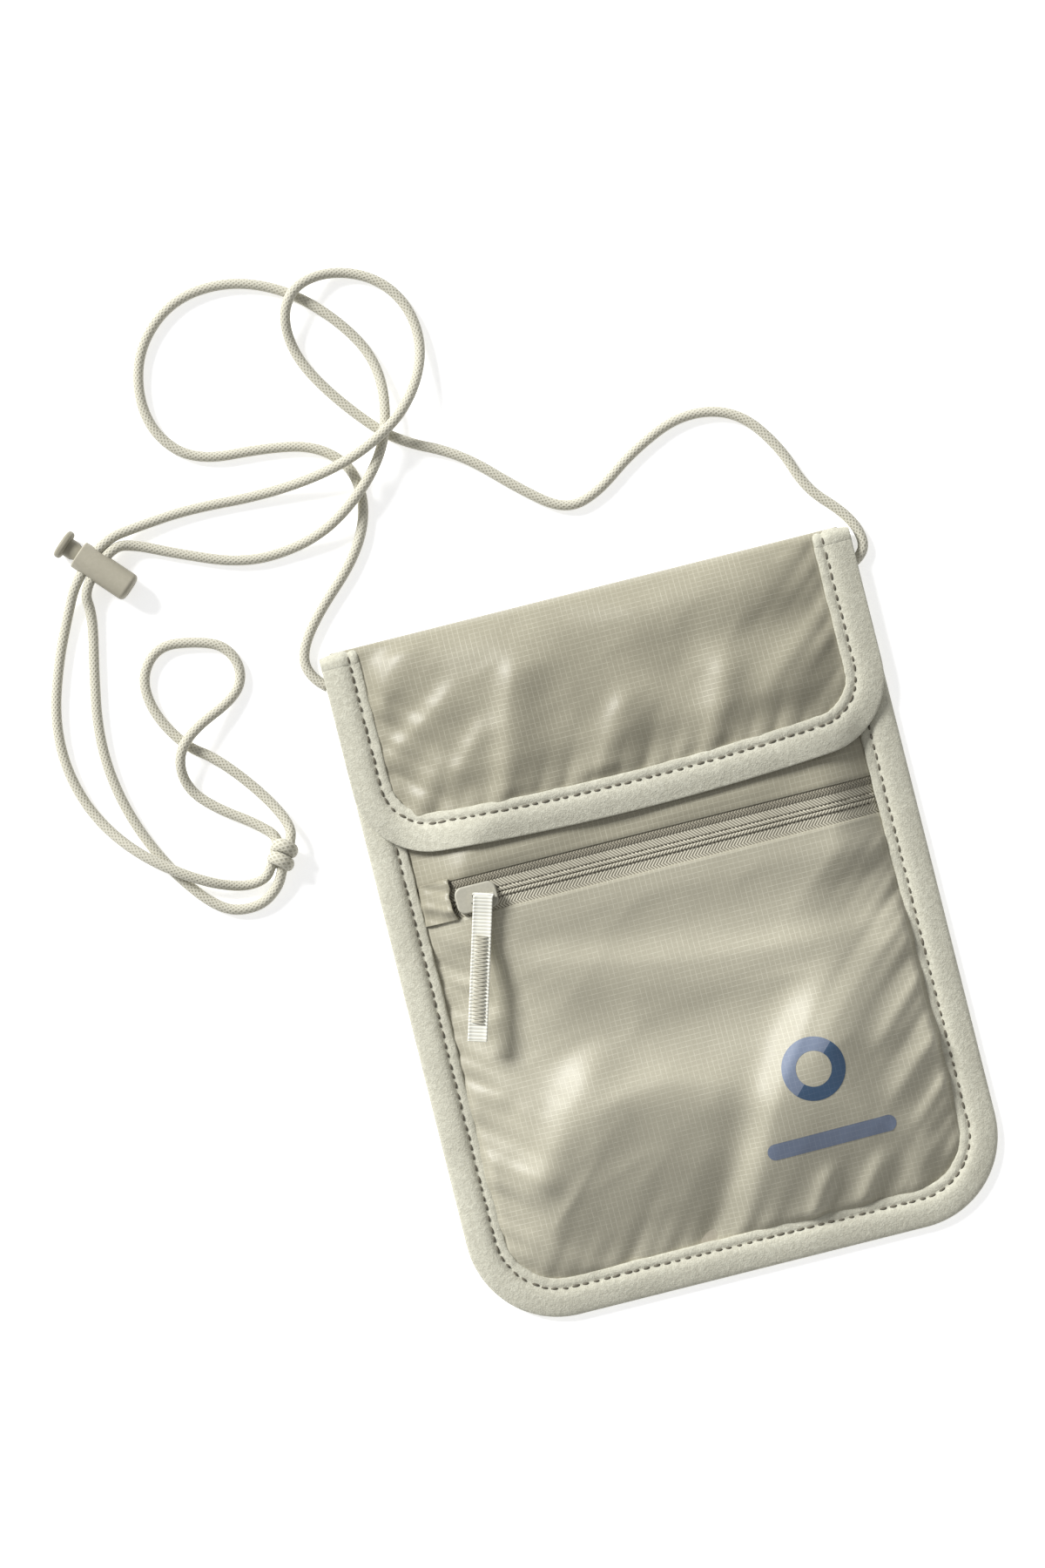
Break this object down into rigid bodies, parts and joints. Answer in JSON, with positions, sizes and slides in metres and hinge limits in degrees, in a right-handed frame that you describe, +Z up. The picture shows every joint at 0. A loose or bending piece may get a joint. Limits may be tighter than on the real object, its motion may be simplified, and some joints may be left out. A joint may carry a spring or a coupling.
{
  "type": "neck pouch wallet",
  "caption": "Flat fabric neck pouch with bound edges, a fold-over flap, a zipped front pocket with a ribbon pull, and a round neck cord run through a sprung cord lock.",
  "frame": {"origin": "middle of the pouch on the surface that it lies on", "axes": "the pouch lies on its back: +X along its width, +Y along its height towards the flap's fold, +Z up through its front"},
  "size_m": [0.2152, 0.2802, 0.0132],
  "materials": {
    "fabric": "khaki-beige ripstop weave, satin",
    "binding": "brushed tape, matt",
    "zipper_tape": "herringbone tape, matt",
    "zipper_coil": "moulded coil",
    "slider_paint": "satin paint",
    "ribbon": "ribbed grosgrain ribbon",
    "hook_and_loop": "hook and loop tape",
    "cord": "round braided cord",
    "lock_plastic": "moulded, matt",
    "spring_steel": "bright wire"
  },
  "bodies": {
    "pouch": {"back_panel": "fabric", "middle_panel": "fabric", "front_panel_lower": "fabric", "front_panel_upper": "fabric", "mouth_binding": "binding", "zipper_tape_lower": "zipper_tape", "zipper_tape_upper": "zipper_tape", "zipper_coil_lower": "zipper_coil", "zipper_coil_upper": "zipper_coil", "zipper_stops": "zipper_coil", "zipper_garage": "fabric", "body_binding": "binding", "flap_fold": "fabric", "loop_patch": "hook_and_loop", "cord_neck_left": "cord", "cord_neck_right": "cord", "cord_tail_left": "cord", "cord_tail_right": "cord", "cord_loop": "cord", "cord_knot": "cord"},
    "flap": {"flap_lining": "fabric", "flap_outer": "fabric", "flap_binding": "binding", "flap_hook_patch": "hook_and_loop"},
    "slider": {"slider_body": "slider_paint"},
    "ribbon": {"pull_ribbon": "ribbon"},
    "lock": {"lock_barrel": "lock_plastic", "lock_spring": "spring_steel"},
    "plunger": {"lock_plunger": "lock_plastic"}
  },
  "joints": [
    {"name": "flap_hinge", "type": "hinge", "parent": "pouch", "child": "flap", "pos_m": [0, 0.088, 0.0024], "axis": [-1, 0, 0], "range_deg": [0, 135], "deforming": ["flap_fold"]},
    {"name": "zip_slide", "type": "slide", "parent": "pouch", "child": "slider", "axis": [1, 0, 0], "range_m": [0, 0.092]},
    {"name": "ribbon_lift", "type": "hinge", "parent": "slider", "child": "ribbon", "pos_m": [-0.0438, 0.0204, 0.01205], "axis": [-1, 0, 0], "range_deg": [0, 150]},
    {"name": "lock_slide", "type": "slide", "parent": "pouch", "child": "lock", "axis": [-0.7408, -0.6717, 0], "range_m": [-0.006, 0.01], "deforming": ["cord_neck_left", "cord_neck_right", "cord_tail_left", "cord_tail_right"]},
    {"name": "plunger_press", "type": "slide", "parent": "lock", "child": "plunger", "axis": [0.6717, -0.7408, 0], "range_m": [0, 0.003], "stiffness_N_per_m": 500, "springref_m": -0.003, "deforming": ["lock_spring"]}
  ]
}
